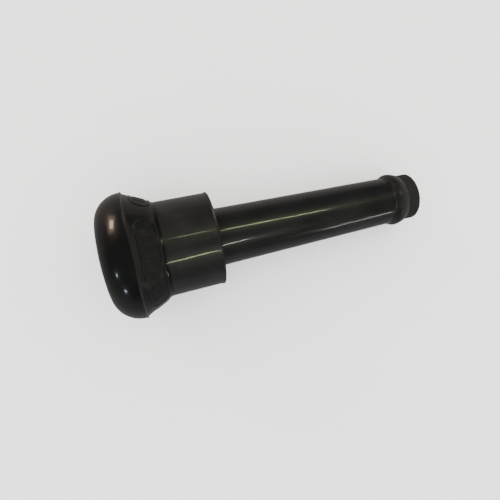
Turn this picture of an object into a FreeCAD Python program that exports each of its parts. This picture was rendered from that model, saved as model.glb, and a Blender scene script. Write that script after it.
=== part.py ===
"""Rubber flow nozzle (the shape of a milking liner): a domed mouthpiece with a flared, skirted back
on a long tapered barrel that ends in a stop ring and a short tail.

Frame, in millimetres: the nozzle lies along X. The origin is the centre of the mouth on the flat
front face, +X runs along the bore from the mouth to the tail, and +Z is up.

The pieces that are round about X are PartDesign bodies, each one a half-section sketched in the XY
plane (X along the bore, Y the radius) and revolved. The three label plates are cut from a conical
layer over the flare by Part booleans. All sizes come from the Sizes sheet.
"""
import FreeCAD, Part
import math
import os

import Sketcher

PARTS_FOLDER = "parts"

# alias: (value, what it is). x_ values are distances from the front face and r_ values are radii,
# both in mm. Angles are in degrees.
SIZES = {
    "r_mouth": (11.0, "mouth hole in the lip"),
    "r_lip": (14.4, "outside of the lip disc"),
    "x_lip_back": (2.8, "back of the lip, seated in the dome"),
    "lip_round": (0.6, "rounding of the mouth hole's back edge and of the barrel's mouth"),
    "lip_edge_round": (0.25, "rounding of the lip's outer edge"),
    "r_ledge": (13.0, "opening of the ledge behind the lip"),
    "x_dome_edge": (0.8, "front of the dome, where it meets the lip"),
    "dome_nose": (11.68, "dome's radius of curvature towards the lip"),
    "x_dome_join": (2.84, "where the dome's two curves meet"),
    "r_dome_join": (24.02, "dome's radius there"),
    "dome_side": (13.2, "dome's radius of curvature beside the parting plane"),
    "x_parting": (14.0, "parting plane between the dome and the flare"),
    "r_head": (29.3, "largest radius, at the parting plane"),
    "r_chamber": (18.0, "mouthpiece chamber"),
    "x_chamber": (9.5, "where the chamber reaches its full width"),
    "chamber_curve": (9.0, "curvature of the chamber's front wall"),
    "r_hoop_in": (22.0, "inside of the stiffening hoop"),
    "r_hoop_out": (24.4, "outside of the stiffening hoop"),
    "hoop_half": (3.0, "depth of the hoop's groove in each half of the head"),
    "r_flare_start": (28.75, "flare beside the parting plane"),
    "r_flare_end": (22.2, "flare at the waist"),
    "x_waist": (27.3, "waist, where the skirt butts on the flare"),
    "r_bead": (16.2, "bead that holds the barrel's flange in"),
    "x_bead": (15.0, "front of that bead"),
    "x_flange_front": (16.0, "front of the barrel flange"),
    "x_flange_back": (19.0, "back of the barrel flange"),
    "r_flange": (17.5, "outside of the barrel flange"),
    "r_barrel_top": (14.4, "outside of the barrel in the flare's web"),
    "x_pocket": (30.0, "floor of the pocket between skirt and barrel"),
    "x_spigot_end": (33.0, "end of the flare's spigot inside the skirt"),
    "r_spigot": (20.3, "outside of that spigot"),
    "r_pocket": (19.0, "inside of the skirt, where a shell's rim goes"),
    "r_skirt": (22.3, "outside of the skirt at the waist"),
    "r_skirt_end": (22.05, "outside of the skirt near its rim"),
    "x_rim_lip": (51.0, "front of the skirt's thin rim lip"),
    "r_rim_lip": (22.4, "outside of that lip"),
    "x_skirt_end": (51.6, "rim of the skirt"),
    "skirt_round": (0.08, "rounding of the skirt's front edge"),
    "x_plate_front": (16.8, "front edge of a label plate"),
    "x_plate_back": (25.8, "back edge of a label plate"),
    "plate_raise": (0.4, "how far a label plate stands out, measured along the radius"),
    "plate_reach": (39.5, "angle from a label plate's middle to the centre of its round end"),
    "plate_end": (5.4, "radius of a label plate's round end"),
    "x_barrel_end": (143.0, "end of the barrel, against the tail's shoulder"),
    "r_barrel_end": (11.95, "outside of the barrel at its end"),
    "r_bore_top": (11.8, "bore at the top of the barrel"),
    "x_spigot_front": (132.0, "front of the tail's spigot, where the bore turns straight"),
    "r_bore_end": (9.4, "bore that grips the tail's spigot"),
    "r_tail_bore": (8.0, "bore of the tail"),
    "r_tail": (11.7, "outside of the tail"),
    "x_tail_end": (158.4, "end of the tail"),
    "tail_round": (0.9, "rounding of the tail's end"),
    "spigot_chamfer": (0.5, "lead-in of the tail's spigot"),
    "r_stop_bore": (11.7, "bore of the stop ring, which grips the tail"),
    "x_stop_back": (151.4, "back of the stop ring"),
    "r_stop_edge": (12.05, "stop ring at its two edges"),
    "r_stop_crest": (13.35, "crest of the stop ring"),
}

# Centres of the label plates, as angles about X from +Z towards +Y.
PLATE_CENTRES = {"label_plate_top": -19.0, "label_plate_left": 101.0, "label_plate_right": 221.0}


def make_sheet(doc):
    """The spreadsheet that holds every driving dimension under its alias."""
    sheet = doc.addObject("Spreadsheet::Sheet", "Sizes")
    for row, (alias, (value, note)) in enumerate(SIZES.items(), start=1):
        sheet.set(f"A{row}", str(value))
        sheet.setAlias(f"A{row}", alias)
        sheet.set(f"B{row}", note)
    doc.recompute()
    return sheet


def sized(expression):
    """The expression with each bare alias turned into a reference to the sheet."""
    words = expression.replace("(", "( ").replace(")", " )").split()
    return " ".join(f"Sizes.{word}" if word in SIZES else word for word in words)


def origin_plane(body, role):
    """One of the body's own origin planes or axes, by its role."""
    return next(feature for feature in body.Origin.OriginFeatures if feature.Role == role)


def arc_centre(start, end, radius, side):
    """Centre of the short arc of that radius from start to end; side is +1 or -1 of the chord."""
    middle = (start + end) * 0.5
    chord = end - start
    across = FreeCAD.Vector(-chord.y, chord.x, 0).normalize()
    rise = math.sqrt(radius**2 - (chord.Length / 2) ** 2)
    return middle + across * rise * side


def arc_between(start, end, radius, side):
    """The short arc from start to end, as Sketcher geometry, and whether it runs end to start."""
    centre = arc_centre(start, end, radius, side)
    circle = Part.Circle(centre, FreeCAD.Vector(0, 0, 1), radius)
    from_angle = math.atan2(start.y - centre.y, start.x - centre.x)
    to_angle = math.atan2(end.y - centre.y, end.x - centre.x)
    backwards = (to_angle - from_angle) % (2 * math.pi) > math.pi
    if backwards:
        from_angle, to_angle = to_angle, from_angle
    return Part.ArcOfCircle(circle, from_angle, to_angle), backwards


def bind(sketch, constraint, expression):
    """Adds the constraint and drives it from the sheet."""
    index = sketch.addConstraint(constraint)
    sketch.setExpression(f"Constraints[{index}]", sized(expression))


def draw_outline(sketch, corners):
    """A closed outline. Each corner is (x, r) as expressions, or (x, r, radius, side) where an arc
    of that radius runs from it to the next corner."""
    points = [
        FreeCAD.Vector(sketch.evalExpression(sized(c[0])), sketch.evalExpression(sized(c[1])), 0)
        for c in corners
    ]
    ends = []
    for number, corner in enumerate(corners):
        start, end = points[number], points[(number + 1) % len(points)]
        if len(corner) == 2:
            edge = sketch.addGeometry(Part.LineSegment(start, end))
            ends.append((edge, 1, 2))
            continue
        radius = sketch.evalExpression(sized(corner[2]))
        arc, backwards = arc_between(start, end, radius, corner[3])
        edge = sketch.addGeometry(arc)
        ends.append((edge, 2, 1) if backwards else (edge, 1, 2))
        bind(sketch, Sketcher.Constraint("Radius", edge, radius), corner[2])
    for number, corner in enumerate(corners):
        edge, start_point, _ = ends[number]
        before, _, end_point = ends[number - 1]
        sketch.addConstraint(Sketcher.Constraint("Coincident", before, end_point, edge, start_point))
        for kind, expression, value in (
            ("DistanceX", corner[0], points[number].x),
            ("DistanceY", corner[1], points[number].y),
        ):
            if abs(value) < 1e-9:
                axis = -2 if kind == "DistanceX" else -1
                sketch.addConstraint(Sketcher.Constraint("PointOnObject", edge, start_point, axis))
            else:
                constraint = Sketcher.Constraint(kind, -1, 1, edge, start_point, value)
                bind(sketch, constraint, expression)


def turned_body(doc, label, corners):
    """A PartDesign body made by turning one half-section a full turn about X."""
    body = doc.addObject("PartDesign::Body", label)
    body.Label = label
    sketch = body.newObject("Sketcher::SketchObject", f"{label}_section")
    sketch.AttachmentSupport = [(origin_plane(body, "XY_Plane"), "")]
    sketch.MapMode = "FlatFace"
    draw_outline(sketch, corners)
    doc.recompute()
    turned = body.newObject("PartDesign::Revolution", f"{label}_turned")
    turned.Profile = sketch
    turned.ReferenceAxis = (sketch, ["H_Axis"])
    turned.Angle = 360.0
    doc.recompute()
    return body


def circles_at(shape, x, radius):
    """Names of the round edges centred on X at that distance and radius."""
    found = []
    for number, edge in enumerate(shape.Edges, start=1):
        if not isinstance(edge.Curve, Part.Circle):
            continue
        if abs(edge.Curve.Radius - radius) < 1e-3 and abs(edge.Curve.Center.x - x) < 1e-3:
            found.append(f"Edge{number}")
    return found


def dress(doc, sheet, body, kind, rings, size):
    """A Fillet or Chamfer of the sheet's size on the body's edges at the (x, radius) rings, where
    x and radius are expressions."""
    base = body.Tip
    names = []
    for x, radius in rings:
        at, wide = sheet.evalExpression(sized(x)), sheet.evalExpression(sized(radius))
        names += circles_at(base.Shape, at, wide)
    if not names:
        raise RuntimeError(f"{body.Label}: no edge to dress")
    feature = body.newObject(f"PartDesign::{kind}", f"{body.Label}_{kind.lower()}_{size}")
    feature.Base = (base, names)
    feature.setExpression("Radius" if kind == "Fillet" else "Size", sized(size))
    doc.recompute()
    return feature


def mouth_lip(doc, sheet):
    """Soft flat disc with the mouth hole; its face is the nozzle's front."""
    body = turned_body(doc, "mouth_lip", [
        ("0", "r_mouth"),
        ("0", "r_lip"),
        ("x_lip_back", "r_lip"),
        ("x_lip_back", "r_mouth"),
    ])
    dress(doc, sheet, body, "Fillet", [("x_lip_back", "r_mouth")], "lip_round")
    dress(doc, sheet, body, "Fillet", [("0", "r_lip")], "lip_edge_round")


def head_front(doc):
    """Domed front half of the mouthpiece, with the lip's seat and half of the hoop's groove."""
    turned_body(doc, "head_front", [
        ("x_dome_edge", "r_lip"),
        ("x_lip_back", "r_lip"),
        ("x_lip_back", "r_ledge", "chamber_curve", -1),
        ("x_chamber", "r_chamber"),
        ("x_parting", "r_chamber"),
        ("x_parting", "r_hoop_in"),
        ("x_parting - hoop_half", "r_hoop_in"),
        ("x_parting - hoop_half", "r_hoop_out"),
        ("x_parting", "r_hoop_out"),
        ("x_parting", "r_head", "dome_side", 1),
        ("x_dome_join", "r_dome_join", "dome_nose", 1),
    ])


def stiffening_hoop(doc):
    """Rigid hoop that keeps the mouthpiece round and lines its two halves up."""
    turned_body(doc, "stiffening_hoop", [
        ("x_parting - hoop_half", "r_hoop_in"),
        ("x_parting + hoop_half", "r_hoop_in"),
        ("x_parting + hoop_half", "r_hoop_out"),
        ("x_parting - hoop_half", "r_hoop_out"),
    ])


def head_rear(doc):
    """Flared rear half of the mouthpiece: its web grips the barrel's flange, and its spigot
    carries the skirt."""
    turned_body(doc, "head_rear", [
        ("x_parting", "r_chamber"),
        ("x_bead", "r_bead"),
        ("x_flange_front", "r_bead"),
        ("x_flange_front", "r_flange"),
        ("x_flange_back", "r_flange"),
        ("x_flange_back", "r_barrel_top"),
        ("x_pocket", "r_barrel_top"),
        ("x_pocket", "r_pocket"),
        ("x_spigot_end", "r_pocket"),
        ("x_spigot_end", "r_spigot"),
        ("x_waist", "r_spigot"),
        ("x_waist", "r_flare_end"),
        ("x_parting", "r_flare_start"),
        ("x_parting", "r_hoop_out"),
        ("x_parting + hoop_half", "r_hoop_out"),
        ("x_parting + hoop_half", "r_hoop_in"),
        ("x_parting", "r_hoop_in"),
    ])


def skirt(doc, sheet):
    """Cylindrical skirt that stands clear of the barrel and closes over a shell's rim."""
    body = turned_body(doc, "skirt", [
        ("x_waist", "r_spigot"),
        ("x_spigot_end", "r_spigot"),
        ("x_spigot_end", "r_pocket"),
        ("x_skirt_end", "r_pocket"),
        ("x_skirt_end", "r_rim_lip"),
        ("x_rim_lip", "r_rim_lip"),
        ("x_rim_lip", "r_skirt_end"),
        ("x_waist", "r_skirt"),
    ])
    dress(doc, sheet, body, "Fillet", [("x_waist", "r_skirt")], "skirt_round")


def flare_radius(x):
    """Expression for the flare's radius at the distance x."""
    fall = "(r_flare_start - r_flare_end) / (x_waist - x_parting)"
    return f"r_flare_start - ({x} - x_parting) * {fall}"


def bound(doc, kind, name, **sizes):
    """A Part primitive whose sizes are driven from the sheet."""
    solid = doc.addObject(kind, name)
    for size, expression in sizes.items():
        solid.setExpression(size, sized(expression))
    return solid


def label_plates(doc, sheet):
    """Raised plates with rounded ends, evenly spaced round the flare. Each is a layer on the flare
    cut down to a wedge with a round cutter across each end. Returns the plates."""
    middle_x = sheet.evalExpression(sized("(x_plate_front + x_plate_back) / 2"))
    middle_r = sheet.evalExpression(sized(flare_radius(str(middle_x))))
    fall = sheet.evalExpression(sized("(r_flare_start - r_flare_end) / (x_waist - x_parting)"))
    tilt = math.degrees(math.atan(fall))
    width = "(x_plate_back - x_plate_front)"
    along_x = FreeCAD.Rotation(FreeCAD.Vector(0, 1, 0), 90.0)
    plates = []
    for label, centre in PLATE_CENTRES.items():
        # A turn about X takes +Y towards +Z, so the centre's angle from +Z is its complement.
        facing = FreeCAD.Rotation(FreeCAD.Vector(1, 0, 0), 90.0 - centre)
        outer = bound(doc, "Part::Cone", f"{label}_outer", Height=width, Angle="360",
                      Radius1=flare_radius("x_plate_front") + " + plate_raise",
                      Radius2=flare_radius("x_plate_back") + " + plate_raise")
        inner = bound(doc, "Part::Cone", f"{label}_inner", Height=width, Angle="360",
                      Radius1=flare_radius("x_plate_front"),
                      Radius2=flare_radius("x_plate_back"))
        wedge = bound(doc, "Part::Cylinder", f"{label}_wedge", Height=width, Radius="2 * r_head",
                      Angle="2 * plate_reach")
        start = FreeCAD.Vector(SIZES["x_plate_front"][0], 0, 0)
        outer.Placement = FreeCAD.Placement(start, facing * along_x)
        inner.Placement = outer.Placement
        # A cylinder that lies along X by along_x starts its wedge at -Z; a turn of 90 + reach less
        # than that centres it on +Y.
        back = FreeCAD.Rotation(FreeCAD.Vector(1, 0, 0), 90.0 - SIZES["plate_reach"][0])
        wedge.Placement = FreeCAD.Placement(start, facing * back * along_x)
        cutters = [wedge]
        for side in (-1, 1):
            end = bound(doc, "Part::Cylinder", f"{label}_end_{'low' if side < 0 else 'high'}",
                        Height="r_head", Radius="plate_end", Angle="360")
            swing = FreeCAD.Rotation(FreeCAD.Vector(1, 0, 0), side * SIZES["plate_reach"][0])
            lean = FreeCAD.Rotation(FreeCAD.Vector(0, 0, 1), -tilt)
            upright = FreeCAD.Rotation(FreeCAD.Vector(1, 0, 0), -90.0)
            turn = facing * swing
            foot = turn.multVec(FreeCAD.Vector(middle_x, middle_r, 0))
            axis = (turn * lean * upright).multVec(FreeCAD.Vector(0, 0, 1))
            end.Placement = FreeCAD.Placement(foot - axis * 3.0, turn * lean * upright)
            cutters.append(end)
        layer = doc.addObject("Part::Cut", f"{label}_layer")
        layer.Base = outer
        layer.Tool = inner
        outline = doc.addObject("Part::MultiFuse", f"{label}_outline")
        outline.Shapes = cutters
        plate = doc.addObject("Part::MultiCommon", label)
        plate.Label = label
        plate.Shapes = [layer, outline]
        plates.append(plate)
    doc.recompute()
    return plates


def barrel(doc, sheet):
    """Tapered tube with a flange at its top that snaps into the flare's web."""
    body = turned_body(doc, "barrel", [
        ("x_flange_front", "r_bore_top"),
        ("x_flange_front", "r_flange"),
        ("x_flange_back", "r_flange"),
        ("x_flange_back", "r_barrel_top"),
        ("x_pocket", "r_barrel_top"),
        ("x_barrel_end", "r_barrel_end"),
        ("x_barrel_end", "r_bore_end"),
        ("x_spigot_front", "r_bore_end"),
    ])
    dress(doc, sheet, body, "Fillet", [("x_flange_front", "r_bore_top")], "lip_round")


def tail(doc, sheet):
    """Short matt end with a spigot that holds it in the barrel and a bore for a pipe's nipple."""
    body = turned_body(doc, "tail", [
        ("x_spigot_front", "r_tail_bore"),
        ("x_tail_end", "r_tail_bore"),
        ("x_tail_end", "r_tail"),
        ("x_barrel_end", "r_tail"),
        ("x_barrel_end", "r_bore_end"),
        ("x_spigot_front", "r_bore_end"),
    ])
    dress(doc, sheet, body, "Fillet", [("x_tail_end", "r_tail")], "tail_round")
    rings = [("x_spigot_front", "r_tail_bore"), ("x_tail_end", "r_tail_bore")]
    dress(doc, sheet, body, "Chamfer", rings, "spigot_chamfer")


def stop_ring(doc, sheet):
    """Round-backed ring, loose on the tail, whose front face stops against the barrel's end."""
    half = (SIZES["x_stop_back"][0] - SIZES["x_barrel_end"][0]) / 2
    height = SIZES["r_stop_crest"][0] - SIZES["r_stop_edge"][0]
    crown = f"{(half**2 + height**2) / (2 * height):.6f}"
    turned_body(doc, "stop_ring", [
        ("x_barrel_end", "r_stop_bore"),
        ("x_stop_back", "r_stop_bore"),
        ("x_stop_back", "r_stop_edge", crown, 1),
        ("x_barrel_end", "r_stop_edge"),
    ])


def export(doc, plates):
    """Checks every object and writes each piece to its own STEP file."""
    bad = [o.Name for o in doc.Objects if {"Invalid", "Error"} & set(o.State)]
    if bad:
        raise RuntimeError(f"failed features: {bad}")
    pieces = [o for o in doc.Objects if o.TypeId == "PartDesign::Body"] + plates
    for piece in pieces:
        if piece.Shape.isNull() or not piece.Shape.isValid() or len(piece.Shape.Solids) != 1:
            raise RuntimeError(f"{piece.Label} is not one valid solid")
    os.makedirs(PARTS_FOLDER, exist_ok=True)
    for piece in pieces:
        piece.Shape.exportStep(os.path.join(PARTS_FOLDER, f"{piece.Label}.step"))
        print(f"{piece.Label}: {piece.Shape.Volume:.0f} mm3")


def main():
    doc = FreeCAD.newDocument("nozzle")
    sheet = make_sheet(doc)
    mouth_lip(doc, sheet)
    head_front(doc)
    stiffening_hoop(doc)
    head_rear(doc)
    skirt(doc, sheet)
    plates = label_plates(doc, sheet)
    barrel(doc, sheet)
    tail(doc, sheet)
    stop_ring(doc, sheet)
    doc.recompute()
    export(doc, plates)


main()
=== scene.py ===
"""A rubber flow nozzle lying on a pale floor: fine lathed meshes for the visible rubber pieces,
moulded-rubber materials and soft studio light. Outlines are in mm along the bore (x) and out from it (r)."""
import math

import bmesh
import bpy
from mathutils import Matrix, Vector


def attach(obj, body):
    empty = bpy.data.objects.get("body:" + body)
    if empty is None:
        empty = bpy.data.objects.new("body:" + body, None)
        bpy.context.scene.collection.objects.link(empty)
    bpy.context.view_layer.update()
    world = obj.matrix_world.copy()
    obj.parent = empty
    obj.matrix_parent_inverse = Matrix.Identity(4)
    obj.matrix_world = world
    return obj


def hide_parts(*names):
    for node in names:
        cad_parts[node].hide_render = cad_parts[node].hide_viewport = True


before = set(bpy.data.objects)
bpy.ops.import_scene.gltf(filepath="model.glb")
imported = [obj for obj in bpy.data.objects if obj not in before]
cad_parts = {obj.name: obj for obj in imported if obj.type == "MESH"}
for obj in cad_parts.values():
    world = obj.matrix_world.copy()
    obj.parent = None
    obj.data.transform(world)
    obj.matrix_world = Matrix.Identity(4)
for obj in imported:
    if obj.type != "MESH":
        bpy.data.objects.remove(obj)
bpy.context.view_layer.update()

MM = 0.001
AROUND = 240          # facets round a lathed piece

# Distances from the mouth, in mm.
LIP_BACK = 2.8
CHAMBER_X = 9.5
HOOP_FRONT, HOOP_BACK = 11.0, 17.0
PARTING_X = 14.0      # where the head's two halves meet
BEAD_X = 15.0
FLANGE_FRONT, FLANGE_BACK = 16.0, 19.0
WAIST_X = 27.3
POCKET_X = 30.0       # bottom of the cup between skirt and barrel
SPIGOT_END = 33.0
SKIRT_END = 51.6
SOCKET_X = 132.0      # where the tail's spigot begins inside the barrel
BARREL_END = 143.0
RING_CREST_X = 146.7
RING_END = 151.4
TAIL_END = 158.4

# Radii, in mm.
MOUTH_R = 11.0
LIP_R = 14.4
CHAMBER_R = 18.0
HOOP_IN, HOOP_OUT = 22.0, 24.4
HEAD_R = 29.3
FLASH_R = 29.70       # crest of the thin ridge along the parting line
FLARE_START_R = 28.75
FLARE_END_R = 22.2
WAIST_R = 22.28
BEAD_R = 16.2
FLANGE_R = 17.5
SPIGOT_R = 20.3
POCKET_R = 19.0
RIM_R = 22.40         # the small lip round the skirt's end
BORE_R = 11.8
BARREL_TOP_R = 14.4
BARREL_END_R = 11.95
SOCKET_R = 9.4
TAIL_BORE_R = 8.0
TAIL_R = 11.7
RING_R = 13.35

FALL = (FLARE_START_R - FLARE_END_R) / (WAIST_X - PARTING_X)


# ---------------------------------------------------------------- lathed meshes
def arc(centre, radius, start, end, steps):
    """Points on a circle in the (x, r) plane; angles in degrees from +X."""
    points = []
    for i in range(steps + 1):
        a = math.radians(start + (end - start) * i / steps)
        points.append((centre[0] + radius * math.cos(a), centre[1] + radius * math.sin(a)))
    return points


def rounded(corners, steps=5):
    """A closed section from (x, r) or (x, r, rounding) corners, each rounding drawn as an arc."""
    points = []
    count = len(corners)
    for i, corner in enumerate(corners):
        here = Vector(corner[:2])
        size = corner[2] if len(corner) > 2 else 0.0
        if size <= 0.0:
            points.append(tuple(here))
            continue
        before = (Vector(corners[i - 1][:2]) - here).normalized()
        after = (Vector(corners[(i + 1) % count][:2]) - here).normalized()
        half = before.angle(after) / 2
        reach = size / math.tan(half)
        centre = here + (before + after).normalized() * (size / math.sin(half))
        first = here + before * reach - centre
        turn = -math.copysign(math.pi - 2 * half, before.x * after.y - before.y * after.x)
        for k in range(steps + 1):
            a = -turn * k / steps
            c, s = math.cos(a), math.sin(a)
            points.append((centre.x + first.x * c - first.y * s,
                           centre.y + first.x * s + first.y * c))
    return points


def subdivide(points, longest):
    """The closed section with its long runs cut, so that relief has vertices to move."""
    fine = []
    for i, a in enumerate(points):
        b = points[(i + 1) % len(points)]
        steps = max(1, math.ceil(math.dist(a, b) / longest))
        for k in range(steps):
            t = k / steps
            fine.append((a[0] + (b[0] - a[0]) * t, a[1] + (b[1] - a[1]) * t))
    return fine


def wobble(x, angle, size):
    """Slow unevenness of soft moulded rubber, in mm."""
    return size * (math.sin(2 * angle + 0.06 * x) * 0.5 + math.sin(3 * angle - 0.045 * x + 1.3) * 0.3
                   + math.sin(0.11 * x + 5 * angle + 2.1) * 0.2)


def lathe(name, section, body="root", around=AROUND, relief=None, sharp=35.0, longest=2.0):
    """A piece made by turning a closed (x, r) section in mm about X. relief(x, r, angle) adds to r."""
    section = subdivide(section, longest)
    bm = bmesh.new()
    rows = []
    for k in range(around):
        angle = 2 * math.pi * k / around
        row = []
        for x, r in section:
            out = r + (relief(x, r, angle) if relief else 0.0)
            row.append(bm.verts.new((x * MM, out * math.sin(angle) * MM, out * math.cos(angle) * MM)))
        rows.append(row)
    count = len(section)
    for k in range(around):
        one, two = rows[k], rows[(k + 1) % around]
        for i in range(count):
            j = (i + 1) % count
            bm.faces.new((one[i], one[j], two[j], two[i]))
    bmesh.ops.recalc_face_normals(bm, faces=bm.faces)
    return finish_piece(name, bm, body, sharp)


def finish_piece(name, bm, body, sharp):
    mesh = bpy.data.meshes.new(name)
    bm.to_mesh(mesh)
    bm.free()
    mesh.shade_smooth()
    mesh.set_sharp_from_angle(angle=math.radians(sharp))
    piece = bpy.data.objects.new(name, mesh)
    bpy.context.collection.objects.link(piece)
    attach(piece, body)
    return piece


# ---------------------------------------------------------------- materials
def rubber(name, base, rough, grain, grain_scale, coat=0.0, coat_rough=0.10, dust=0.25, warm=(1.0, 1.0, 1.0),
           mottle=0.35, shine=0.5):
    """Black moulded rubber: mottled colour, uneven sheen, fine grain and pale handling bloom."""
    mat = bpy.data.materials.new(name)
    mat.use_nodes = True
    tree = mat.node_tree
    nodes, links = tree.nodes, tree.links
    nodes.clear()
    out = nodes.new("ShaderNodeOutputMaterial")
    bsdf = nodes.new("ShaderNodeBsdfPrincipled")
    links.new(bsdf.outputs["BSDF"], out.inputs["Surface"])
    bsdf.inputs["IOR"].default_value = 1.52
    bsdf.inputs["Specular IOR Level"].default_value = shine
    bsdf.inputs["Coat Weight"].default_value = coat
    bsdf.inputs["Coat Roughness"].default_value = coat_rough
    where = nodes.new("ShaderNodeTexCoord")

    def noise(scale, detail, distortion=0.0):
        tex = nodes.new("ShaderNodeTexNoise")
        tex.inputs["Scale"].default_value = scale
        tex.inputs["Detail"].default_value = detail
        tex.inputs["Distortion"].default_value = distortion
        links.new(where.outputs["Object"], tex.inputs["Vector"])
        return tex

    def ramp(source, low, high, low_value, high_value):
        node = nodes.new("ShaderNodeMapRange")
        node.inputs["From Min"].default_value = low
        node.inputs["From Max"].default_value = high
        node.inputs["To Min"].default_value = low_value
        node.inputs["To Max"].default_value = high_value
        links.new(source, node.inputs["Value"])
        return node.outputs["Result"]

    cloud = noise(55.0, 4.0, 0.4)
    fine = noise(grain_scale, 3.0)
    smear = noise(160.0, 5.0, 1.2)

    dark = nodes.new("ShaderNodeMix")
    dark.data_type = "RGBA"
    dark.inputs["A"].default_value = (*[b * w * (1 - mottle) for b, w in zip(base, warm)], 1.0)
    dark.inputs["B"].default_value = (*[b * w * (1 + mottle) for b, w in zip(base, warm)], 1.0)
    links.new(ramp(cloud.outputs["Fac"], 0.3, 0.7, 0.0, 1.0), dark.inputs["Factor"])
    bloom = nodes.new("ShaderNodeMix")
    bloom.data_type = "RGBA"
    links.new(dark.outputs["Result"], bloom.inputs["A"])
    bloom.inputs["B"].default_value = (0.020, 0.0195, 0.0185, 1.0)
    links.new(ramp(smear.outputs["Fac"], 0.56, 0.8, 0.0, dust), bloom.inputs["Factor"])
    links.new(bloom.outputs["Result"], bsdf.inputs["Base Color"])

    links.new(ramp(cloud.outputs["Fac"], 0.3, 0.7, rough * 0.86, rough * 1.16),
              bsdf.inputs["Roughness"])

    bump = nodes.new("ShaderNodeBump")
    bump.inputs["Strength"].default_value = grain
    bump.inputs["Distance"].default_value = 0.0002
    links.new(fine.outputs["Fac"], bump.inputs["Height"])
    links.new(bump.outputs["Normal"], bsdf.inputs["Normal"])
    return mat


BLACK = (0.0026, 0.0026, 0.0026)
MATERIALS = {
    "lip_rubber": rubber("lip_rubber", BLACK, 0.40, 0.25, 1900.0, coat=0.2, coat_rough=0.2),
    "head_rubber": rubber("head_rubber", (0.0014, 0.0014, 0.0014), 0.36, 0.22, 1500.0, coat=0.65,
                          coat_rough=0.13, dust=0.12, shine=0.22),
    "skirt_rubber": rubber("skirt_rubber", BLACK, 0.42, 0.18, 1300.0, coat=0.5, coat_rough=0.09),
    "plate_rubber": rubber("plate_rubber", (0.0018, 0.0018, 0.0018), 0.42, 0.30, 1700.0, coat=0.3,
                           coat_rough=0.2, dust=0.2, shine=0.25),
    "barrel_rubber": rubber("barrel_rubber", (0.0022, 0.0022, 0.0024), 0.34, 0.10, 1200.0,
                            coat=0.6, coat_rough=0.07, dust=0.15),
    "ring_rubber": rubber("ring_rubber", BLACK, 0.42, 0.25, 1600.0, coat=0.3, coat_rough=0.15),
    "tail_rubber": rubber("tail_rubber", (0.0036, 0.0036, 0.0036), 0.60, 0.75, 2300.0),
    "hoop_plastic": rubber("hoop_plastic", (0.10, 0.10, 0.10), 0.5, 0.3, 900.0, dust=0.0),
}


def dress(piece, slot):
    piece.data.materials.clear()
    piece.data.materials.append(MATERIALS[slot])
    return piece


# ---------------------------------------------------------------- pieces
lip = lathe("Mouth_Lip_Disc", rounded([
    (0.0, MOUTH_R, 0.6), (0.0, LIP_R, 0.25), (LIP_BACK, LIP_R), (LIP_BACK, MOUTH_R, 0.6)]),
    relief=lambda x, r, a: wobble(x, a, 0.03), longest=0.8)
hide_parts("mouth_lip")
dress(lip, "lip_rubber")


def head_relief(x, r, angle):
    """Unevenness of the head, less where it meets a neighbour."""
    return wobble(x * 2.0, angle, 0.10) if r > 15 else 0.0


dome_nose = arc((12.18, 17.01), 11.68, 191.5, 143.2, 22)
dome_side = arc((13.4, 16.1), 13.2, 143.1, 89.5, 26)
dome = ([(LIP_BACK, LIP_R), (1.1, LIP_R), (0.85, LIP_R + 0.1)] + dome_nose[1:] + dome_side[1:]
        + [(13.80, 29.36), (13.92, 29.62), (PARTING_X, FLASH_R)]
        + [(PARTING_X, HOOP_OUT), (HOOP_FRONT, HOOP_OUT), (HOOP_FRONT, HOOP_IN), (PARTING_X, HOOP_IN),
           (PARTING_X, CHAMBER_R), (CHAMBER_X, CHAMBER_R), (6.0, 16.2), (3.8, 14.2), (LIP_BACK, 13.0)])
head = lathe("Mouthpiece_Front_Dome", dome, relief=head_relief, sharp=40.0, longest=1.2)
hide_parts("head_front")
dress(head, "head_rubber")

PLATE_X = 21.3        # mm, middle of a label plate


def flare_r(x):
    """Radius of the plain flare at x, in mm."""
    return FLARE_START_R - (x - PARTING_X) * FALL


TURN_X = 23.6         # mm, where the flare starts to turn out into the skirt


def flare_curve():
    """The flare's outline, which turns out into the skirt at the waist."""
    steps = 12
    points = []
    for k in range(steps + 1):
        t = k / steps
        x = TURN_X + (WAIST_X - TURN_X) * t
        points.append((x, flare_r(x) * (1 - t * t) + WAIST_R * t * t))
    return points


rear = lathe("Mouthpiece_Rear_Flare", [
    (PARTING_X, FLASH_R), (14.08, 29.62), (14.2, 29.0), (14.5, 28.56), (15.0, 28.28)]
    + flare_curve()
    + [(WAIST_X, SPIGOT_R), (SPIGOT_END, SPIGOT_R), (SPIGOT_END, POCKET_R), (POCKET_X, POCKET_R),
       (POCKET_X, BARREL_TOP_R), (FLANGE_BACK, BARREL_TOP_R), (FLANGE_BACK, FLANGE_R),
       (FLANGE_FRONT, FLANGE_R), (FLANGE_FRONT, BEAD_R), (BEAD_X, BEAD_R), (PARTING_X, CHAMBER_R),
       (PARTING_X, HOOP_IN), (HOOP_BACK, HOOP_IN), (HOOP_BACK, HOOP_OUT), (PARTING_X, HOOP_OUT)],
    relief=head_relief, sharp=40.0, longest=1.2)
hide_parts("head_rear")
dress(rear, "head_rubber")

skirt_piece = lathe("Rear_Skirt", rounded([
    (WAIST_X, SPIGOT_R), (SPIGOT_END, SPIGOT_R), (SPIGOT_END, POCKET_R), (SKIRT_END, POCKET_R, 0.3),
    (SKIRT_END, RIM_R, 0.1), (51.15, RIM_R, 0.1), (50.8, 22.05), (WAIST_X, 22.30, 0.10)], steps=4),
    relief=lambda x, r, a: wobble(x, a, 0.05), longest=1.5)
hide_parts("skirt")
dress(skirt_piece, "skirt_rubber")

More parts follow.
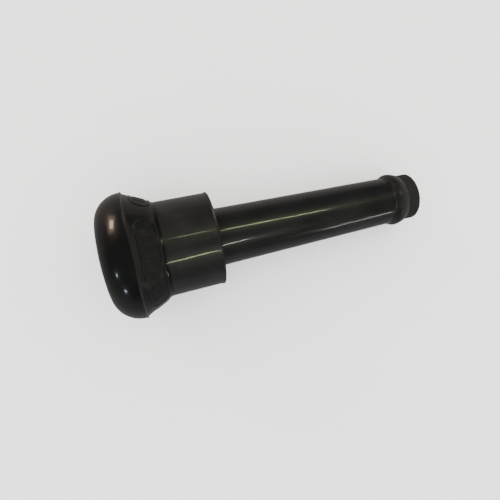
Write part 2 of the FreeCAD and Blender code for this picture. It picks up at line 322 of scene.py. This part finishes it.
tube = lathe("Tapered_Barrel", rounded([
    (FLANGE_FRONT, BORE_R, 0.6), (FLANGE_FRONT, FLANGE_R), (FLANGE_BACK, FLANGE_R),
    (FLANGE_BACK, BARREL_TOP_R), (POCKET_X, BARREL_TOP_R), (BARREL_END, BARREL_END_R, 0.15),
    (BARREL_END, SOCKET_R), (SOCKET_X, SOCKET_R)]),
    relief=lambda x, r, a: wobble(x * 0.5, a, 0.05) if r > 10 and x > 31 else 0.0, longest=2.5)
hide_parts("barrel")
dress(tube, "barrel_rubber")

end = lathe("Tail_Sleeve", rounded([
    (SOCKET_X, TAIL_BORE_R, 0.3), (SOCKET_X, SOCKET_R), (BARREL_END, SOCKET_R), (BARREL_END, TAIL_R),
    (TAIL_END, TAIL_R, 0.9), (TAIL_END, TAIL_BORE_R, 0.4)]), longest=1.5)
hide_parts("tail")
dress(end, "tail_rubber")

RING_START_R = BARREL_END_R + 0.02
RING_DROP = 1.35      # mm, from the ring's crest down to its back edge


def ring_profile():
    """The ring's outside: it swells out of the barrel without a step, and drops to the tail."""
    rise, fall = 18, 12
    points = []
    for k in range(rise + 1):
        t = k / rise
        points.append((BARREL_END + (RING_CREST_X - BARREL_END) * t,
                       RING_START_R + (RING_R - RING_START_R) * t * t * (3 - 2 * t)))
    for k in range(1, fall + 1):
        t = k / fall
        points.append((RING_CREST_X + (RING_END - RING_CREST_X) * t, RING_R - RING_DROP * t ** 1.9))
    return points


ring = lathe("Stop_Ring", ring_profile() + [(RING_END, TAIL_R), (BARREL_END, TAIL_R)], longest=1.0)
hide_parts("stop_ring")
dress(ring, "ring_rubber")

# ---------------------------------------------------------------- label plates
def on_flare(along, angle, lift):
    """The point at that distance from the flare's edge, angle round it and lift off it, in metres.
    along is the slant distance in mm from the plate's middle line."""
    lean = math.atan(FALL)
    x = PLATE_X + along * math.cos(lean) + lift * math.sin(lean)
    r = flare_r(PLATE_X) - along * math.sin(lean) + lift * math.cos(lean)
    return Vector((x * MM, r * math.sin(angle) * MM, r * math.cos(angle) * MM))


def smooth(value):
    """0 below 0, 1 above 1, and an even curve between."""
    value = max(0.0, min(1.0, value))
    return value * value * (3 - 2 * value)


def stadium(along, across, reach, half_wide):
    """Distance in mm inside the plate's rounded outline."""
    past = max(abs(across) - reach, 0.0)
    return half_wide - math.hypot(along, past)


def bar_inside(along, across, centre, half_long, half_wide):
    """Distance in mm inside one raised bar with rounded ends, lying across the plate."""
    past = max(abs(along) - half_long, 0.0)
    return half_wide - math.hypot(across - centre, past)


PLATE_HALF = 5.1      # mm, half its width along the slope
PLATE_REACH = math.radians(39.5) * flare_r(PLATE_X)
BAR_PITCH = 4.1       # mm between the plain bars that fill a plate


def plate_lift(along, across):
    """How far a plate stands off the flare there, in mm: a field, a rim bead and plain bars."""
    inside = stadium(along, across, PLATE_REACH, PLATE_HALF)
    lift = -0.35 + 0.42 * smooth(inside / 0.35)
    lift += 0.22 * smooth(inside / 0.3) * smooth((0.95 - inside) / 0.35)
    bars = int(PLATE_REACH / BAR_PITCH)
    for k in range(-bars, bars + 1):
        deep = bar_inside(along, across, k * BAR_PITCH, 2.1, 0.75)
        lift += 0.20 * smooth(deep / 0.4)
    return lift


def plate_mesh(name, centre):
    """A raised pad on the flare: a fine grid lifted off it, closed by a plain back."""
    bm = bmesh.new()
    mid_r = flare_r(PLATE_X)
    step = 0.2
    rows = int(round(2 * (PLATE_HALF + 0.2) / step))
    columns = int(round(2 * (PLATE_REACH + PLATE_HALF + 0.2) / step))
    fronts, backs = [], []
    for i in range(rows + 1):
        along = -(PLATE_HALF + 0.2) + i * step
        front, back = [], []
        for j in range(columns + 1):
            across = -(PLATE_REACH + PLATE_HALF + 0.2) + j * step
            angle = centre + across / mid_r
            front.append(bm.verts.new(on_flare(along, angle, plate_lift(along, across))))
            back.append(bm.verts.new(on_flare(along, angle, -0.6)))
        fronts.append(front)
        backs.append(back)
    for i in range(rows):
        for j in range(columns):
            bm.faces.new((fronts[i][j], fronts[i][j + 1], fronts[i + 1][j + 1], fronts[i + 1][j]))
            bm.faces.new((backs[i][j], backs[i + 1][j], backs[i + 1][j + 1], backs[i][j + 1]))
    for i in range(rows):
        for j in (0, columns):
            bm.faces.new((fronts[i][j], fronts[i + 1][j], backs[i + 1][j], backs[i][j]))
    for j in range(columns):
        for i in (0, rows):
            bm.faces.new((fronts[i][j], fronts[i][j + 1], backs[i][j + 1], backs[i][j]))
    bmesh.ops.recalc_face_normals(bm, faces=bm.faces)
    return finish_piece(name, bm, "root", 60.0)


for node, centre in (("label_plate_top", -19.0), ("label_plate_left", 101.0),
                     ("label_plate_right", 221.0)):
    pad = plate_mesh(node.title().replace("_", ""), math.radians(centre))
    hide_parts(node)
    dress(pad, "plate_rubber")

dress(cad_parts["stiffening_hoop"], "hoop_plastic")

# ---------------------------------------------------------------- stage
FLOOR_NORMAL = Vector((-0.118, 0.0, 0.993)).normalized()


def floor():
    """A large pale floor that touches the head's rim and the stop ring's crest from below."""
    foot = Vector((PARTING_X * MM, 0.0, -(HEAD_R + 0.4) * MM))
    bpy.ops.mesh.primitive_plane_add(size=6.0, location=foot)
    plane = bpy.context.object
    plane.name = "floor"
    plane.rotation_mode = "QUATERNION"
    plane.rotation_quaternion = FLOOR_NORMAL.to_track_quat("Z", "Y")
    mat = bpy.data.materials.new("floor_white")
    mat.use_nodes = True
    shader = mat.node_tree.nodes["Principled BSDF"]
    shader.inputs["Base Color"].default_value = (0.9, 0.9, 0.9, 1.0)
    shader.inputs["Roughness"].default_value = 0.9
    plane.data.materials.append(mat)
    return plane


def strip(name, start, end, width, power, colour):
    """A long thin soft light between two points, facing the object."""
    start, end = Vector(start), Vector(end)
    light = bpy.data.lights.new(name, "AREA")
    light.energy = power
    light.color = colour
    light.shape = "RECTANGLE"
    light.size = (end - start).length
    light.size_y = width
    lamp = bpy.data.objects.new(name, light)
    middle = (start + end) / 2
    along = (end - start).normalized()
    back = middle - Vector((0.07, 0.0, 0.0))
    back = (back - along * back.dot(along)).normalized()
    lamp.matrix_world = Matrix((along, back.cross(along), back)).transposed().to_4x4()
    lamp.location = middle
    lamp.visible_camera = False
    bpy.context.collection.objects.link(lamp)
    return lamp


OLIVE = (0.86, 0.90, 0.52)
PALE = (0.95, 0.97, 0.88)
WARM = (1.0, 0.66, 0.42)
COOL = (0.80, 0.90, 1.0)
strip("tube_left", (0.265, 0.329, 0.935), (0.556, 0.224, 0.878), 0.014, 0.8, OLIVE)
strip("tube_right", (0.235, -0.630, 0.765), (0.325, -0.573, 0.793), 0.012, 0.30, PALE)
strip("low_right", (0.530, -0.880, 0.250), (0.700, -0.775, 0.330), 0.010, 0.35, PALE)
strip("skirt_right", (0.077, -0.606, 0.820), (0.210, -0.560, 0.838), 0.020, 0.50, OLIVE)
strip("skirt_left", (0.104, 0.29, 0.977), (0.2, 0.273, 0.972), 0.02, 0.12, OLIVE)
strip("warm_window", (-0.42, 0.88, 0.10), (-0.70, 0.60, 0.45), 0.40, 1.3, WARM)
strip("warm_lamp", (-0.50, 0.84, 0.24), (-0.63, 0.69, 0.38), 0.20, 2.8, (1.0, 0.80, 0.66))
strip("cool_one", (-0.88, -0.38, 0.32), (-0.84, -0.37, 0.38), 0.05, 0.45, COOL)
strip("cool_two", (-0.65, -0.75, 0.19), (-0.60, -0.78, 0.25), 0.05, 0.45, COOL)


def studio_world():
    """White soft light on the floor and the object, and a dim even room in the reflections."""
    world = bpy.data.worlds.new("world")
    bpy.context.scene.world = world
    world.use_nodes = True
    tree = world.node_tree
    nodes, links = tree.nodes, tree.links
    nodes.clear()
    out = nodes.new("ShaderNodeOutputWorld")
    white = nodes.new("ShaderNodeBackground")
    white.inputs["Color"].default_value = (1.0, 1.0, 1.0, 1.0)
    white.inputs["Strength"].default_value = 2.6
    room = nodes.new("ShaderNodeBackground")
    room.inputs["Strength"].default_value = 1.0
    where = nodes.new("ShaderNodeTexCoord")
    split = nodes.new("ShaderNodeSeparateXYZ")
    links.new(where.outputs["Generated"], split.inputs["Vector"])
    shade = nodes.new("ShaderNodeValToRGB")
    shade.color_ramp.elements[0].position = 0.0
    shade.color_ramp.elements[0].color = (0.26, 0.26, 0.26, 1.0)
    shade.color_ramp.elements[1].position = 1.0
    shade.color_ramp.elements[1].color = (0.016, 0.016, 0.016, 1.0)
    for at, colour in ((0.46, (0.22, 0.22, 0.22)), (0.52, (0.07, 0.07, 0.07)),
                       (0.66, (0.030, 0.030, 0.030)), (0.85, (0.018, 0.018, 0.018))):
        element = shade.color_ramp.elements.new(at)
        element.color = (*colour, 1.0)
    height = nodes.new("ShaderNodeMapRange")
    height.inputs["From Min"].default_value = -1.0
    height.inputs["From Max"].default_value = 1.0
    links.new(split.outputs["Z"], height.inputs["Value"])
    links.new(height.outputs["Result"], shade.inputs["Fac"])
    side = nodes.new("ShaderNodeMapRange")
    side.inputs["From Min"].default_value = -0.2
    side.inputs["From Max"].default_value = 0.6
    links.new(split.outputs["Y"], side.inputs["Value"])
    tint = nodes.new("ShaderNodeMix")
    tint.data_type = "RGBA"
    tint.inputs["A"].default_value = (1.0, 1.0, 1.0, 1.0)
    tint.inputs["B"].default_value = (1.35, 1.24, 1.16, 1.0)
    links.new(side.outputs["Result"], tint.inputs["Factor"])
    warmed = nodes.new("ShaderNodeMix")
    warmed.data_type = "RGBA"
    warmed.blend_type = "MULTIPLY"
    warmed.inputs["Factor"].default_value = 1.0
    links.new(shade.outputs["Color"], warmed.inputs["A"])
    links.new(tint.outputs["Result"], warmed.inputs["B"])
    tail_side = nodes.new("ShaderNodeMapRange")
    tail_side.inputs["From Min"].default_value = 0.62
    tail_side.inputs["From Max"].default_value = 0.76
    links.new(split.outputs["X"], tail_side.inputs["Value"])
    both = nodes.new("ShaderNodeMix")
    both.data_type = "RGBA"
    both.inputs["B"].default_value = (0.46, 0.44, 0.42, 1.0)
    links.new(tail_side.outputs["Result"], both.inputs["Factor"])
    links.new(warmed.outputs["Result"], both.inputs["A"])
    links.new(both.outputs["Result"], room.inputs["Color"])
    front = nodes.new("ShaderNodeMapRange")
    front.inputs["From Min"].default_value = -0.6
    front.inputs["From Max"].default_value = 0.05
    front.inputs["To Min"].default_value = 0.75
    front.inputs["To Max"].default_value = 1.0
    links.new(split.outputs["X"], front.inputs["Value"])
    links.new(front.outputs["Result"], room.inputs["Strength"])
    ray = nodes.new("ShaderNodeLightPath")
    mix = nodes.new("ShaderNodeMixShader")
    links.new(ray.outputs["Is Glossy Ray"], mix.inputs["Fac"])
    links.new(white.outputs["Background"], mix.inputs[1])
    links.new(room.outputs["Background"], mix.inputs[2])
    links.new(mix.outputs["Shader"], out.inputs["Surface"])


CAMERA_PLACE = Vector((0.0233, -0.0095, 0.1987))
CAMERA_LEAN = math.radians(-12.556)   # it looks down and a little towards the tail
CAMERA_ROLL = math.radians(-12.886)

camera_data = bpy.data.cameras.new("camera")
camera_data.lens = 30.0
camera_data.sensor_width = 36.0
camera = bpy.data.objects.new("camera", camera_data)
bpy.context.collection.objects.link(camera)
camera.matrix_world = (Matrix.Translation(CAMERA_PLACE) @ Matrix.Rotation(CAMERA_LEAN, 4, "Y")
                       @ Matrix.Rotation(CAMERA_ROLL, 4, "Z"))
bpy.context.scene.camera = camera

studio_world()
ground = floor()
ground.visible_glossy = False
